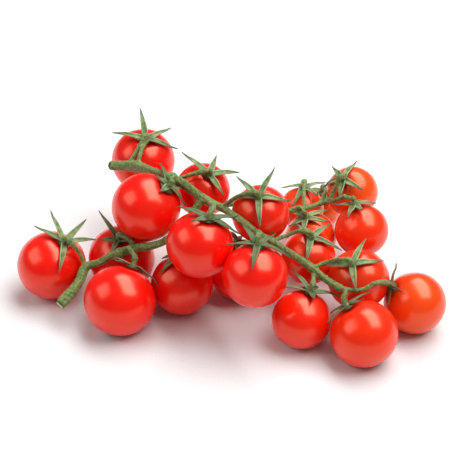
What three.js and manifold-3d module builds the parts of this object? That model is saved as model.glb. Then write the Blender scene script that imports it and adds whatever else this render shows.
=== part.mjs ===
// A truss of cherry tomatoes: one forked green stem that carries twenty-one fruits, each
// with its own star-shaped calyx. Millimetres, +Z up, the truss lying on the plane z = 0.

import * as THREE from 'three';
import { mergeVertices } from 'three/addons/utils/BufferGeometryUtils.js';
import Module from 'manifold-3d';

const wasm = await Module();
wasm.setup();

// Driving dimensions, mm
const GAP = 0.35;                // clear space between neighbouring pieces
const REST_DEPTH = 0.35;         // how much of a resting fruit is flattened by its own weight
const FRUIT_SIDES = 14;          // facets round a fruit
const HUB_RADIUS = 2.1;          // green disc where the sepals meet
const HUB_HEIGHT = 1.5;
const SEPAL_WIDTH = 2.9;         // widest part of a sepal
const LONGEST_SEPAL = 16;
const SEPAL_TIP_WIDTH = 0.9;
const SEPAL_THICKNESS = 0.7;
const SEPAL_STEPS = 3;           // straight lengths along a sepal
const SEPAL_ARCH = 0.16;         // rise of a sepal's middle, as a share of its length
const MAIN_RADIUS = 1.75;        // main stem
const ARM_RADIUS = 1.8;          // low side arm
const REAR_RADIUS = 1.4;         // side arm at the back
const PEDICEL_RADIUS = 1.05;     // short stalk that ends on one fruit
const KNUCKLE_RADIUS = 2.7;      // swollen node where arms part
const STEM_SIDES = 7;
const PEDICEL_SIDES = 6;

// Half outline of a fruit of radius 1, from the blossom end up to the stalk end:
// distance from the axis, height along the axis.
const FRUIT_PROFILE = [
  [0, -0.97],
  [0.42, -0.88],
  [0.8, -0.55],
  [0.99, -0.02],
  [0.84, 0.5],
  [0.5, 0.85],
  [0.22, 0.92],
  [0, 0.88],
];
const SHOULDER = 0.92;           // height of the ring that the calyx sits on

// Each fruit: centre, radius, whether it rests on the table, the compass heading and the
// lift of its stalk end in degrees, and for each sepal its turn round the stalk end and its
// spread from the stalk's line, both in degrees, and its length.
const FRUITS = {
  tomato_01: { at: [-77.5, -5, 15], r: 15, rests: true, heading: -17, lift: 64,
    sepals: [[155, 100, 15], [125, 80, 16], [60, 62, 15], [25, 80, 15], [-85, 105, 15]] },
  tomato_02: { at: [-45.5, -30, 15], r: 15.2, rests: true, heading: 58, lift: 50,
    sepals: [[5, 104, 14], [180, 80, 9], [100, 100, 12], [140, 92, 11], [50, 105, 12]] },
  tomato_03: { at: [-46.8, 1, 14.6], r: 14.6, rests: true, heading: -93, lift: 70,
    sepals: [[125, 80, 16], [-170, 78, 9], [-110, 80, 10], [-25, 70, 7], [50, 95, 12]] },
  tomato_04: { at: [-35, 1.5, 41], r: 14.9, rests: false, heading: -10, lift: 50,
    sepals: [[110, 92, 14], [150, 110, 7], [5, 108, 13], [40, 96, 14], [-120, 95, 6]] },
  tomato_05: { at: [-19, -16.5, 13.5], r: 13.4, rests: true, heading: -179, lift: 82,
    sepals: [[0, 105, 9], [72, 105, 9], [144, 105, 9], [-144, 105, 9], [-72, 105, 9]] },
  tomato_06: { at: [-11, -24.5, 39.5], r: 13.9, rests: false, heading: -10, lift: 75,
    sepals: [[150, 100, 15], [-5, 105, 15], [25, 92, 14], [-150, 88, 8], [80, 95, 8]] },
  tomato_07: { at: [12, -39, 34.5], r: 13.5, rests: false, heading: 64, lift: 81,
    sepals: [[155, 105, 14], [-100, 105, 14], [5, 110, 15], [120, 75, 14], [55, 92, 13]] },
  tomato_08: { at: [32, -40, 12.5], r: 12.5, rests: true, heading: 40, lift: 70,
    sepals: [[155, 104, 14], [125, 76, 14], [-85, 85, 8], [5, 84, 13], [65, 95, 12]] },
  tomato_09: { at: [57.5, -51, 14], r: 13.9, rests: true, heading: 153, lift: 55,
    sepals: [[40, 100, 14], [150, 95, 10], [-150, 92, 11], [95, 85, 8], [0, 100, 7]] },
  tomato_10: { at: [81, -29.5, 13], r: 13.2, rests: true, heading: -178, lift: 40,
    sepals: [[75, 98, 14], [105, 105, 10], [145, 110, 14], [-55, 88, 8], [-120, 95, 8]] },
  tomato_11: { at: [-38.5, 43.5, 39], r: 14.5, rests: false, heading: -67, lift: 70,
    sepals: [[105, 72, 16], [165, 98, 16], [40, 95, 14], [0, 108, 15], [-110, 90, 11]] },
  tomato_12: { at: [-10.5, 18.5, 39], r: 12.1, rests: false, heading: -59, lift: 63,
    sepals: [[140, 98, 16], [75, 105, 14], [20, 95, 15], [-50, 95, 12]] },
  tomato_13: { at: [57, -25, 21.5], r: 12.9, rests: false, heading: -127, lift: 62,
    sepals: [[60, 95, 14], [5, 108, 13], [-90, 95, 12], [165, 100, 13]] },
  tomato_14: { at: [36, -11.5, 23.5], r: 11.8, rests: false, heading: -79, lift: 77,
    sepals: [[50, 100, 14], [-5, 112, 15], [-100, 95, 12], [115, 108, 14]] },
  tomato_15: { at: [15, -3.5, 41], r: 12.4, rests: false, heading: -103, lift: 67,
    sepals: [[130, 86, 14], [60, 82, 15], [0, 110, 14], [-90, 96, 14], [165, 108, 13]] },
  tomato_16: { at: [35.5, 33, 19], r: 10.1, rests: false, heading: 67, lift: 82,
    sepals: [[140, 110, 13], [90, 95, 11], [35, 92, 13], [-115, 108, 13], [-55, 90, 10]] },
  tomato_17: { at: [58, 29, 31], r: 11.5, rests: false, heading: -135, lift: 55,
    sepals: [[60, 115, 13], [115, 112, 13], [-45, 95, 11], [165, 115, 13], [-110, 90, 10]] },
  tomato_18: { at: [60.5, 5.5, 26], r: 11.8, rests: false, heading: 142, lift: 70,
    sepals: [[50, 108, 12], [-115, 95, 10], [145, 92, 11], [-70, 90, 9], [0, 100, 9]] },
  tomato_19: { at: [45.5, 48, 9.5], r: 9.7, rests: true, heading: -81, lift: 81,
    sepals: [[0, 105, 8], [72, 105, 8], [144, 105, 8], [-144, 105, 8], [-72, 105, 8]] },
  tomato_20: { at: [38.5, 11.5, 18], r: 11.3, rests: false, heading: -147, lift: 74,
    sepals: [[125, 105, 13], [-150, 82, 9], [-100, 88, 9], [-20, 98, 11], [35, 108, 13]] },
  tomato_21: { at: [6, -6.5, 13.5], r: 13.8, rests: true, heading: 178, lift: 83,
    sepals: [[0, 105, 9], [72, 105, 9], [144, 105, 9], [-144, 105, 9], [-72, 105, 9]] },
};

// Stem lines. Each starts at a free cut end or on another line and runs through its points.
const MAIN_LINE = [
  [-52, 31, 44], [-42, 26, 47], [-33.4, 14.8, 51.5], [-23.4, 5, 54], [-18, 6.5, 49.5],
  [-11.4, 3.5, 45.5], [-7, 1, 44], [-1.8, -2.5, 43.5], [3.8, -12, 45.5], [10, -18, 44],
  [13.6, -20, 42], [19.3, -19, 37.5], [25.4, -19, 33], [31.5, -24, 31.5], [36.7, -27, 29],
  [42, -31, 26.5], [47.5, -38, 27],
];
const ARM_LINE = [
  [-71.5, -28, 10.5], [-64, -19.5, 15.5], [-61.5, -13, 19.3], [-55, -13, 22], [-50, -13, 25.5],
  [-46, -13, 27], [-40, -11, 28], [-33, -12, 30], [-26, -10, 31.5], [-18, -4, 36], [-11, 2.5, 44],
];
const REAR_LINE = [
  [-1.8, -2.5, 43.5], [3, 9, 38], [12, 13, 34], [20, 13, 33], [27.9, 10, 33.4],
  [35.5, 14, 32], [42.6, 20, 30.5], [49, 17.5, 34], [53, 15, 37.5],
];

// Pedicels: the fruit that each ends on and the points that it passes on the way there.
const PEDICELS = [
  ['tomato_09', [[47.5, -38, 27], [49.5, -44, 30]]],
  ['tomato_12', [[-23.4, 5, 54], [-20.3, 11, 50], [-14.5, 11.4, 52]]],
  ['tomato_15', [[-1.8, -2.5, 43.5], [3.9, -5.3, 50.5], [9.4, -8.3, 55]]],
  ['tomato_07', [[13.6, -20, 42], [13.2, -28, 47]]],
  ['tomato_14', [[19.3, -19, 37.5], [25.6, -13, 36], [31.9, -13.5, 39]]],
  ['tomato_13', [[36.7, -27, 29], [43, -25, 31], [50, -30, 36]]],
  ['tomato_08', [[36.7, -27, 29], [37, -28.5, 27.5]]],
  ['tomato_10', [[47.5, -38, 27], [56, -39.5, 27], [62.8, -37, 29]]],
  ['tomato_11', [[-42, 26, 47], [-38, 30, 51.5]]],
  ['tomato_06', [[-7, 1, 44], [-6.5, -10, 50.5], [-5, -20, 56]]],
  ['tomato_04', [[-23.4, 5, 54], [-23.5, 1, 56]]],
  ['tomato_18', [[53, 15, 37.5], [55.8, 10, 40]]],
  ['tomato_20', [[27.9, 10, 33.4], [33, 11, 34.5]]],
  ['tomato_17', [[46, 18.5, 32.5], [48.5, 20, 37]]],
  ['tomato_16', [[35.5, 14, 32], [35.5, 24, 33]]],
  ['tomato_19', [[42.6, 20, 30.5], [46.5, 34, 28]]],
  ['tomato_01', [[-61.5, -13, 19.3], [-63.7, -11, 24.5], [-66.5, -10.5, 29.5]]],
  ['tomato_03', [[-40, -11, 28], [-41, -9, 32]]],
  ['tomato_02', [[-46, -13, 27], [-42, -15, 31]]],
  ['tomato_05', [[-26, -10, 31.5], [-22, -14, 30]]],
  ['tomato_21', [[-18, -4, 36], [-8, -4, 34], [1, -5, 32]]],
];

// Swollen joints of the stem: centre and radius
const KNUCKLES = [
  [[-23.4, 5, 54], KNUCKLE_RADIUS],
  [[-46, -13, 27], KNUCKLE_RADIUS - 0.3],
  [[36.7, -27, 29], KNUCKLE_RADIUS - 0.6],
];

const radians = THREE.MathUtils.degToRad;
const UP = new THREE.Vector3(0, 0, 1);

const greenSkin = (colour) => new THREE.MeshStandardMaterial({
  color: colour,
  roughness: 0.7,
  metalness: 0,
});
const stemMaterial = greenSkin('#5c7f35');
const calyxMaterial = greenSkin('#7f9f62');
const fruitMaterial = new THREE.MeshStandardMaterial({
  color: '#d81b12',
  roughness: 0.25,
  metalness: 0,
});

// Unit vector of a stalk end from its compass heading and its lift over the horizontal.
function stalkLine(heading, lift) {
  const h = radians(heading);
  const l = radians(lift);
  return new THREE.Vector3(Math.cos(h) * Math.cos(l), Math.sin(h) * Math.cos(l), Math.sin(l));
}

// A closed three.js geometry as a solid: shared vertices merged, empty triangles left out.
function toSolid(geometry) {
  const bare = geometry.clone();
  bare.deleteAttribute('normal');
  bare.deleteAttribute('uv');
  const merged = mergeVertices(bare, 1e-4);
  const triangles = [];
  const index = merged.index.array;
  for (let i = 0; i < index.length; i += 3) {
    const [a, b, c] = [index[i], index[i + 1], index[i + 2]];
    if (a !== b && b !== c && c !== a) {
      triangles.push(a, b, c);
    }
  }
  const vertProperties = new Float32Array(merged.attributes.position.array);
  const solid = new wasm.Manifold(new wasm.Mesh({
    numProp: 3,
    vertProperties,
    triVerts: new Uint32Array(triangles),
  }));
  return solid;
}

// A named mesh from a solid, its geometry measured from the given centre.
function toMesh(name, solid, centre, material) {
  const { vertProperties, triVerts } = solid.getMesh();
  const geometry = new THREE.BufferGeometry();
  geometry.setAttribute('position', new THREE.BufferAttribute(vertProperties, 3));
  geometry.setIndex(new THREE.BufferAttribute(triVerts, 1));
  geometry.translate(-centre.x, -centre.y, -centre.z);
  geometry.computeVertexNormals();
  const mesh = new THREE.Mesh(geometry, material);
  mesh.name = name;
  mesh.position.copy(centre);
  return mesh;
}

// The largest separate body of a solid: loose scraps of a cut are dropped.
function largestBody(solid) {
  const bodies = solid.decompose();
  return bodies.reduce((best, body) => (body.volume() > best.volume() ? body : best));
}

// A fruit turned from its profile, its axis along the stalk line.
function fruitGeometry(fruit, extra = 0) {
  const points = FRUIT_PROFILE.map(([x, y]) => {
    const reach = Math.hypot(x, y) * fruit.r;
    const grow = (reach + extra) / reach;
    return new THREE.Vector2(x * fruit.r * grow, y * fruit.r * grow);
  });
  const geometry = new THREE.LatheGeometry(points, FRUIT_SIDES);
  geometry.rotateX(Math.PI / 2);
  geometry.applyQuaternion(fruit.turn);
  return geometry;
}

// Lowest point of a fruit below its centre.
function fruitDepth(fruit) {
  const geometry = fruitGeometry(fruit);
  geometry.computeBoundingBox();
  return -geometry.boundingBox.min.z;
}

const fruits = Object.entries(FRUITS).map(([name, given]) => {
  const axis = stalkLine(given.heading, given.lift);
  return {
    ...given,
    name,
    axis,
    turn: new THREE.Quaternion().setFromUnitVectors(UP, axis),
    centre: new THREE.Vector3(...given.at),
  };
});
const fruitByName = new Map(fruits.map((fruit) => [fruit.name, fruit]));

// Resting fruits sink by REST_DEPTH; fruits that are too close share the push apart.
function settleFruits() {
  const rounds = 60;
  for (const fruit of fruits) {
    if (fruit.rests) {
      fruit.centre.z = fruitDepth(fruit) - REST_DEPTH;
    }
  }
  for (let round = 0; round < rounds; round += 1) {
    fruits.forEach((a, i) => {
      for (const b of fruits.slice(i + 1)) {
        const between = b.centre.clone().sub(a.centre);
        const push = a.r + b.r + GAP - between.length();
        if (push > 0) {
          const step = between.setLength(push / 2);
          a.centre.sub(new THREE.Vector3(step.x, step.y, a.rests ? 0 : step.z));
          b.centre.add(new THREE.Vector3(step.x, step.y, b.rests ? 0 : step.z));
        }
      }
    });
  }
}

// Moves a point out of every fruit but the skipped one, until it is clear by the margin.
function clearOfFruits(point, margin, skip = null) {
  const rounds = 12;
  const floor = 0.6;
  for (let round = 0; round < rounds; round += 1) {
    for (const fruit of fruits) {
      const out = point.clone().sub(fruit.centre);
      const need = fruit.r + margin - out.length();
      if (fruit !== skip && need > 0) {
        point.add(out.setLength(need));
      }
    }
    point.z = Math.max(point.z, floor + margin / 2);
  }
  return point;
}

// Top of a fruit's calyx disc, where its pedicel ends.
function calyxTop(fruit, above = 0) {
  const height = fruit.r * SHOULDER + GAP + HUB_HEIGHT + above;
  return fruit.centre.clone().addScaledVector(fruit.axis, height);
}

// A round stem of one thickness along a smooth line, grown by extra all round.
function stemSolid(points, radius, sides, stepsEach, extra = 0) {
  const outline = new THREE.Shape();
  for (let i = 0; i < sides; i += 1) {
    const angle = (i / sides) * Math.PI * 2;
    const x = Math.cos(angle) * (radius + extra);
    const y = Math.sin(angle) * (radius + extra);
    if (i === 0) {
      outline.moveTo(x, y);
    } else {
      outline.lineTo(x, y);
    }
  }
  outline.closePath();
  const line = new THREE.CatmullRomCurve3(points, false, 'centripetal');
  const geometry = new THREE.ExtrudeGeometry(outline, {
    steps: (points.length - 1) * stepsEach,
    extrudePath: line,
    bevelEnabled: false,
  });
  return toSolid(geometry);
}

// A swollen joint: a low-sided ball.
function knuckleSolid([at, radius], extra = 0) {
  const sides = 7;
  const geometry = new THREE.SphereGeometry(radius + extra, sides, 5);
  geometry.translate(...at);
  return toSolid(geometry);
}

// All stem lines, arms, pedicels and joints as one solid.
function buildStem(extra = 0) {
  const line = (points, radius) => points.map(
    (p) => clearOfFruits(new THREE.Vector3(...p), radius + GAP + 0.15),
  );
  const parts = [
    stemSolid(line(MAIN_LINE, MAIN_RADIUS), MAIN_RADIUS, STEM_SIDES, 1, extra),
    stemSolid(line(ARM_LINE, ARM_RADIUS), ARM_RADIUS, STEM_SIDES, 1, extra),
    stemSolid(line(REAR_LINE, REAR_RADIUS), REAR_RADIUS, PEDICEL_SIDES, 1, extra),
  ];
  for (const [name, route] of PEDICELS) {
    const fruit = fruitByName.get(name);
    const points = line(route, PEDICEL_RADIUS);
    points.push(clearOfFruits(calyxTop(fruit, 3), PEDICEL_RADIUS + GAP, fruit));
    points.push(calyxTop(fruit, GAP - extra));
    parts.push(stemSolid(points, PEDICEL_RADIUS, PEDICEL_SIDES, 1, extra));
  }
  for (const knuckle of KNUCKLES) {
    parts.push(knuckleSolid(knuckle, extra));
  }
  return parts.reduce((whole, part) => whole.add(part));
}

// One sepal: a box bent along an arched line from the disc to its tip and drawn out to a
// narrow point, kept clear of all fruits.
function sepalSolid(fruit, [turn, spread, length], extra) {
  const out = new THREE.Vector3(Math.cos(radians(turn)), Math.sin(radians(turn)), 0);
  const reach = Math.sin(radians(spread)) * length;
  const rise = Math.cos(radians(spread)) * length;
  const base = fruit.r * SHOULDER + GAP + HUB_HEIGHT * 0.5;
  const place = (along, height) => out.clone()
    .multiplyScalar(along)
    .add(new THREE.Vector3(0, 0, base + height))
    .applyQuaternion(fruit.turn)
    .add(fruit.centre);
  const arch = new THREE.QuadraticBezierCurve3(
    place(0.4, 0),
    place(reach * 0.5, rise * 0.4 + length * SEPAL_ARCH),
    place(reach, rise),
  );
  const margin = GAP + SEPAL_THICKNESS / 2 + 0.25;
  const line = arch.getPoints(SEPAL_STEPS).map((p, i) => (i === 0 ? p : clearOfFruits(p, margin)));
  const geometry = new THREE.BoxGeometry(1, 1, 1, SEPAL_STEPS, 1, 1);
  const position = geometry.attributes.position;
  const vertex = new THREE.Vector3();
  for (let i = 0; i < position.count; i += 1) {
    vertex.fromBufferAttribute(position, i);
    const station = Math.round((vertex.x + 0.5) * SEPAL_STEPS);
    const ahead = line[Math.min(station + 1, SEPAL_STEPS)].clone();
    const along = ahead.sub(line[Math.max(station - 1, 0)]).normalize();
    const away = line[station].clone().sub(fruit.centre).normalize();
    const side = away.clone().cross(along).normalize();
    const normal = along.clone().cross(side).normalize();
    const share = station / SEPAL_STEPS;
    const bulge = Math.sin(Math.PI * Math.min(share * 1.15 + 0.3, 1));
    const width = SEPAL_TIP_WIDTH + (SEPAL_WIDTH - SEPAL_TIP_WIDTH) * bulge + extra * 2;
    vertex.copy(line[station])
      .addScaledVector(side, (position.getY(i)) * width)
      .addScaledVector(normal, position.getZ(i) * (SEPAL_THICKNESS + extra * 2));
    position.setXYZ(i, vertex.x, vertex.y, vertex.z);
  }
  return toSolid(geometry);
}

// Disc and sepals of one fruit as one solid.
function calyxSolid(fruit, extra = 0) {
  const disc = new THREE.CylinderGeometry(HUB_RADIUS * 0.8 + extra, HUB_RADIUS + extra, HUB_HEIGHT, 8);
  disc.rotateX(Math.PI / 2);
  disc.translate(0, 0, fruit.r * SHOULDER + GAP + HUB_HEIGHT / 2);
  disc.applyQuaternion(fruit.turn);
  disc.translate(fruit.centre.x, fruit.centre.y, fruit.centre.z);
  return fruit.sepals.reduce((whole, sepal) => whole.add(sepalSolid(fruit, sepal, extra)), toSolid(disc));
}

settleFruits();

const truss = new THREE.Group();
const stem = buildStem();
const stemWithGap = buildStem(GAP - 0.05);

const table = new THREE.BoxGeometry(400, 400, 20);
table.translate(0, 0, -10);
const tableSolid = toSolid(table);

for (const fruit of fruits) {
  const geometry = fruitGeometry(fruit);
  geometry.translate(fruit.centre.x, fruit.centre.y, fruit.centre.z);
  const solid = toSolid(geometry).subtract(tableSolid);
  truss.add(toMesh(fruit.name, solid, fruit.centre, fruitMaterial));
}

let taken = stemWithGap;
for (const fruit of fruits) {
  let solid = calyxSolid(fruit);
  for (const other of fruits) {
    const near = other.centre.distanceTo(fruit.centre) < other.r + fruit.r + LONGEST_SEPAL;
    if (near) {
      const grown = fruitGeometry(other, GAP - 0.05);
      grown.translate(other.centre.x, other.centre.y, other.centre.z);
      solid = solid.subtract(toSolid(grown));
    }
  }
  solid = largestBody(solid.subtract(taken).subtract(tableSolid));
  taken = taken.add(calyxSolid(fruit, GAP - 0.05));
  const name = fruit.name.replace('tomato', 'calyx');
  truss.add(toMesh(name, solid, fruit.centre, calyxMaterial));
}

let stemBody = stem;
for (const fruit of fruits) {
  const grown = fruitGeometry(fruit, GAP - 0.05);
  grown.translate(fruit.centre.x, fruit.centre.y, fruit.centre.z);
  stemBody = stemBody.subtract(toSolid(grown));
}
truss.add(toMesh('stem', largestBody(stemBody), new THREE.Vector3(), stemMaterial));

// The origin is the middle of the truss's footprint, on the table.
const bounds = new THREE.Box3().setFromObject(truss);
truss.position.set(-(bounds.min.x + bounds.max.x) / 2, -(bounds.min.y + bounds.max.y) / 2, 0);

const part = new THREE.Group();
part.add(truss);

export default part;
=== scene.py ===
"""A truss of cherry tomatoes on a pale table: fruits, calyxes, forked stem and studio."""

import math

import bpy
import numpy as np
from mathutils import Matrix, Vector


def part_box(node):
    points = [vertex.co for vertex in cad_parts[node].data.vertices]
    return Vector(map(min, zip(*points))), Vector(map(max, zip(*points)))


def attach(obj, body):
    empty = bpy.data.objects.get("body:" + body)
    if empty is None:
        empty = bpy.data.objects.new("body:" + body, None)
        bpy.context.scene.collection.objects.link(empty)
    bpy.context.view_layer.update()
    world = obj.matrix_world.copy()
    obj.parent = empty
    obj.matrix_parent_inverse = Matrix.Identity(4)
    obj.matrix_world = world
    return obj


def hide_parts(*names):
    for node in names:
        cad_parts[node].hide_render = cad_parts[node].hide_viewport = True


bl_info = {
    "name": "Truss of Cherry Tomatoes",
    "version": (1, 0, 0),
    "blender": (4, 5, 0),
    "location": "3D View > Sidebar > Truss",
    "description": "Builds a truss of cherry tomatoes with its calyxes, stem and studio",
    "category": "Add Mesh",
}

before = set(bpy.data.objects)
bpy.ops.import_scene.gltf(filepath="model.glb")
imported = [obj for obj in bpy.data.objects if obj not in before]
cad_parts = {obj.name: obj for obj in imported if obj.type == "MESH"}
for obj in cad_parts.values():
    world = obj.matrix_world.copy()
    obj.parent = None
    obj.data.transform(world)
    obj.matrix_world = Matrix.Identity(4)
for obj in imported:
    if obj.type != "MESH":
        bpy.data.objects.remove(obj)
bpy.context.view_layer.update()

# Lengths are in millimetres unless a comment says otherwise.
MM = 0.001
GAP = 0.35
# Extra room between a green part and a fruit, because the fruits here are swelled a little
STEM_ROOM = 0.15
SEPAL_ROOM = 0.25
TABLE_ROOM = 0.6
CLEARING_PASSES = 12
STATIONS_PER_SPAN = 8

# The frame's fruits: sides round the axis, and height of the calyx over the centre as a
# share of the radius
FACETS = 14
SHOULDER = 0.92

# Fruit shape, as shares of its radius
FULLNESS = 0.96
BELOW, ABOVE = 0.97, 0.96
DIP_DEPTH, DIP_WIDTH = 0.08, 0.2
SHOULDER_LOBE, SIDE_LOBE = 0.02, 0.008
# In millimetres
POLE_RADIUS = 0.02

# Calyx: the disc that sepals grow from, and a sepal's arch, fold, wave and curl
HUB_HEIGHT = 1.5
HUB_RADIUS, HUB_DOME = 2.3, 0.7
SEPAL_ARCH = 0.16
SEPAL_THICKNESS = 0.7
SEPAL_FOLD, SEPAL_WAVE = 0.42, 0.12
TIP_CURL, TIP_HALF_WIDTH = 1.4, 0.1
# In metres
LEAF_THICKNESS = 0.0005

# Half outline of a fruit of radius 1 as in the frame: (distance from axis, height).
FRAME_PROFILE = np.array([
    (0, -0.97), (0.42, -0.88), (0.8, -0.55), (0.99, -0.02),
    (0.84, 0.5), (0.5, 0.85), (0.22, 0.92), (0, 0.88),
])

# name: (centre, radius, stalk heading, stalk lift, [(turn, spread, length), ...])
FRUITS = {
    "01": ((-77.5, -5, 15), 15, -17, 64,
           [(155, 100, 15), (125, 80, 16), (60, 62, 15), (25, 80, 15), (-85, 105, 15)]),
    "02": ((-45.5, -30, 15), 15.2, 58, 50,
           [(5, 104, 14), (180, 80, 9), (100, 100, 12), (140, 92, 11), (50, 105, 12)]),
    "03": ((-46.8, 1, 14.6), 14.6, -93, 70,
           [(125, 80, 16), (-170, 78, 9), (-110, 80, 10), (-25, 70, 7), (50, 95, 12)]),
    "04": ((-35, 1.5, 41), 14.9, -10, 50,
           [(110, 92, 14), (150, 110, 7), (5, 108, 13), (40, 96, 14), (-120, 95, 6)]),
    "05": ((-19, -16.5, 13.5), 13.4, -179, 82,
           [(0, 105, 9), (72, 105, 9), (144, 105, 9), (-144, 105, 9), (-72, 105, 9)]),
    "06": ((-11, -24.5, 39.5), 13.9, -10, 75,
           [(150, 100, 15), (-5, 105, 15), (25, 92, 14), (-150, 88, 8), (80, 95, 8)]),
    "07": ((12, -39, 34.5), 13.5, 64, 81,
           [(155, 105, 14), (-100, 105, 14), (5, 110, 15), (120, 75, 14), (55, 92, 13)]),
    "08": ((32, -40, 12.5), 12.5, 40, 70,
           [(155, 104, 14), (125, 76, 14), (-85, 85, 8), (5, 84, 13), (65, 95, 12)]),
    "09": ((57.5, -51, 14), 13.9, 153, 55,
           [(40, 100, 14), (150, 95, 10), (-150, 92, 11), (95, 85, 8), (0, 100, 7)]),
    "10": ((81, -29.5, 13), 13.2, -178, 40,
           [(75, 98, 14), (105, 105, 10), (145, 110, 14), (-55, 88, 8), (-120, 95, 8)]),
    "11": ((-38.5, 43.5, 39), 14.5, -67, 70,
           [(105, 72, 16), (165, 98, 16), (40, 95, 14), (0, 108, 15), (-110, 90, 11)]),
    "12": ((-10.5, 18.5, 39), 12.1, -59, 63,
           [(140, 98, 16), (75, 105, 14), (20, 95, 15), (-50, 95, 12)]),
    "13": ((57, -25, 21.5), 12.9, -127, 62,
           [(60, 95, 14), (5, 108, 13), (-90, 95, 12), (165, 100, 13)]),
    "14": ((36, -11.5, 23.5), 11.8, -79, 77,
           [(50, 100, 14), (-5, 112, 15), (-100, 95, 12), (115, 108, 14)]),
    "15": ((15, -3.5, 41), 12.4, -103, 67,
           [(130, 86, 14), (60, 82, 15), (0, 110, 14), (-90, 96, 14), (165, 108, 13)]),
    "16": ((35.5, 33, 19), 10.1, 67, 82,
           [(140, 110, 13), (90, 95, 11), (35, 92, 13), (-115, 108, 13), (-55, 90, 10)]),
    "17": ((58, 29, 31), 11.5, -135, 55,
           [(60, 115, 13), (115, 112, 13), (-45, 95, 11), (165, 115, 13), (-110, 90, 10)]),
    "18": ((60.5, 5.5, 26), 11.8, 142, 70,
           [(50, 108, 12), (-115, 95, 10), (145, 92, 11), (-70, 90, 9), (0, 100, 9)]),
    "19": ((45.5, 48, 9.5), 9.7, -81, 81,
           [(0, 105, 8), (72, 105, 8), (144, 105, 8), (-144, 105, 8), (-72, 105, 8)]),
    "20": ((38.5, 11.5, 18), 11.3, -147, 74,
           [(125, 105, 13), (-150, 82, 9), (-100, 88, 9), (-20, 98, 11), (35, 108, 13)]),
    "21": ((6, -6.5, 13.5), 13.8, 178, 83,
           [(0, 105, 9), (72, 105, 9), (144, 105, 9), (-144, 105, 9), (-72, 105, 9)]),
}
# Fruits that touch the table
RESTING = ("01", "02", "03", "05", "08", "09", "10", "19", "21")

# How far each skin leans from full red towards orange, 0 to 1.
ORANGE = {"09": 0.2, "10": 0.6, "13": 0.3, "16": 0.5, "17": 0.8, "18": 0.3, "19": 0.9,
          "20": 0.7, "08": 0.1, "14": 0.2, "15": 0.1}

# Middle lines of the three arms, the rear one from where it leaves the main stem and the
# others from their cut ends, and of each stalk from its arm
MAIN_LINE = [
    (-52, 31, 44), (-42, 26, 47), (-33.4, 14.8, 51.5), (-23.4, 5, 54), (-18, 6.5, 49.5),
    (-11.4, 3.5, 45.5), (-7, 1, 44), (-1.8, -2.5, 43.5), (3.8, -12, 45.5), (10, -18, 44),
    (13.6, -20, 42), (19.3, -19, 37.5), (25.4, -19, 33), (31.5, -24, 31.5),
    (36.7, -27, 29), (42, -31, 26.5), (47.5, -38, 27),
]
ARM_LINE = [
    (-71.5, -28, 10.5), (-64, -19.5, 15.5), (-61.5, -13, 19.3), (-55, -13, 22),
    (-50, -13, 25.5), (-46, -13, 27), (-40, -11, 28), (-33, -12, 30), (-26, -10, 31.5),
    (-18, -4, 36), (-11, 2.5, 44),
]
REAR_LINE = [
    (-1.8, -2.5, 43.5), (3, 9, 38), (12, 13, 34), (20, 13, 33), (27.9, 10, 33.4),
    (35.5, 14, 32), (42.6, 20, 30.5), (49, 17.5, 34), (53, 15, 37.5),
]
PEDICELS = [
    ("09", [(47.5, -38, 27), (49.5, -44, 30)]),
    ("12", [(-23.4, 5, 54), (-20.3, 11, 50), (-14.5, 11.4, 52)]),
    ("15", [(-1.8, -2.5, 43.5), (3.9, -5.3, 50.5), (9.4, -8.3, 55)]),
    ("07", [(13.6, -20, 42), (13.2, -28, 47)]),
    ("14", [(19.3, -19, 37.5), (25.6, -13, 36), (31.9, -13.5, 39)]),
    ("13", [(36.7, -27, 29), (43, -25, 31), (50, -30, 36)]),
    ("08", [(36.7, -27, 29), (37, -28.5, 27.5)]),
    ("10", [(47.5, -38, 27), (56, -39.5, 27), (62.8, -37, 29)]),
    ("11", [(-44.8, 27.4, 46.1), (-41.5, 30, 50.1)]),
    ("06", [(-7, 1, 44), (-6.5, -10, 50.5), (-5, -20, 56)]),
    ("04", [(-23.4, 5, 54), (-23.5, 1, 56)]),
    ("18", [(53, 15, 37.5), (55.8, 10, 40)]),
    ("20", [(27.9, 10, 33.4), (33, 11, 34.5)]),
    ("17", [(46, 18.5, 32.5), (48.5, 20, 37)]),
    ("16", [(35.5, 14, 32), (35.5, 24, 33)]),
    ("19", [(42.6, 20, 30.5), (46.5, 34, 28)]),
    ("01", [(-61.5, -13, 19.3), (-63.7, -11, 24.5), (-66.5, -10.5, 29.5)]),
    ("03", [(-40, -11, 28), (-41, -9, 32)]),
    ("02", [(-46, -13, 27), (-42, -15, 31)]),
    ("05", [(-26, -10, 31.5), (-22, -14, 30)]),
    ("21", [(-18, -4, 36), (-8, -4, 34), (1, -5, 32)]),
]
# How withered a calyx is, 0 to 1, and its sepals' width and its disc's size as shares of
# a fresh, plain one's
DRY = {"09": 0.7, "10": 0.85, "02": 0.35, "03": 0.3, "18": 0.2}
NARROW = {"09": 0.6, "10": 0.55, "02": 0.7, "03": 0.8}
WIDE_HUB = {"04": 1.45}

# Places and radii of the swollen forks, and a second strand beside the stalk of fruit 11:
# its foot and its middle
KNUCKLES = [((-23.4, 5, 54), 2.7), ((-46, -13, 27), 2.4), ((36.7, -27, 29), 2.1)]
STRAND = [(-39.7, 22, 49.2), (-38, 30.5, 52.8)]
STRAND_RADIUS = 0.95
# Low swelling where each short stalk leaves its arm: on the thick arms, and on the rear one
JOINT_RADIUS = 1.95
THIN_JOINT_RADIUS = 1.35
ON_REAR_ARM = ("16", "17", "18", "19", "20")

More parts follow.
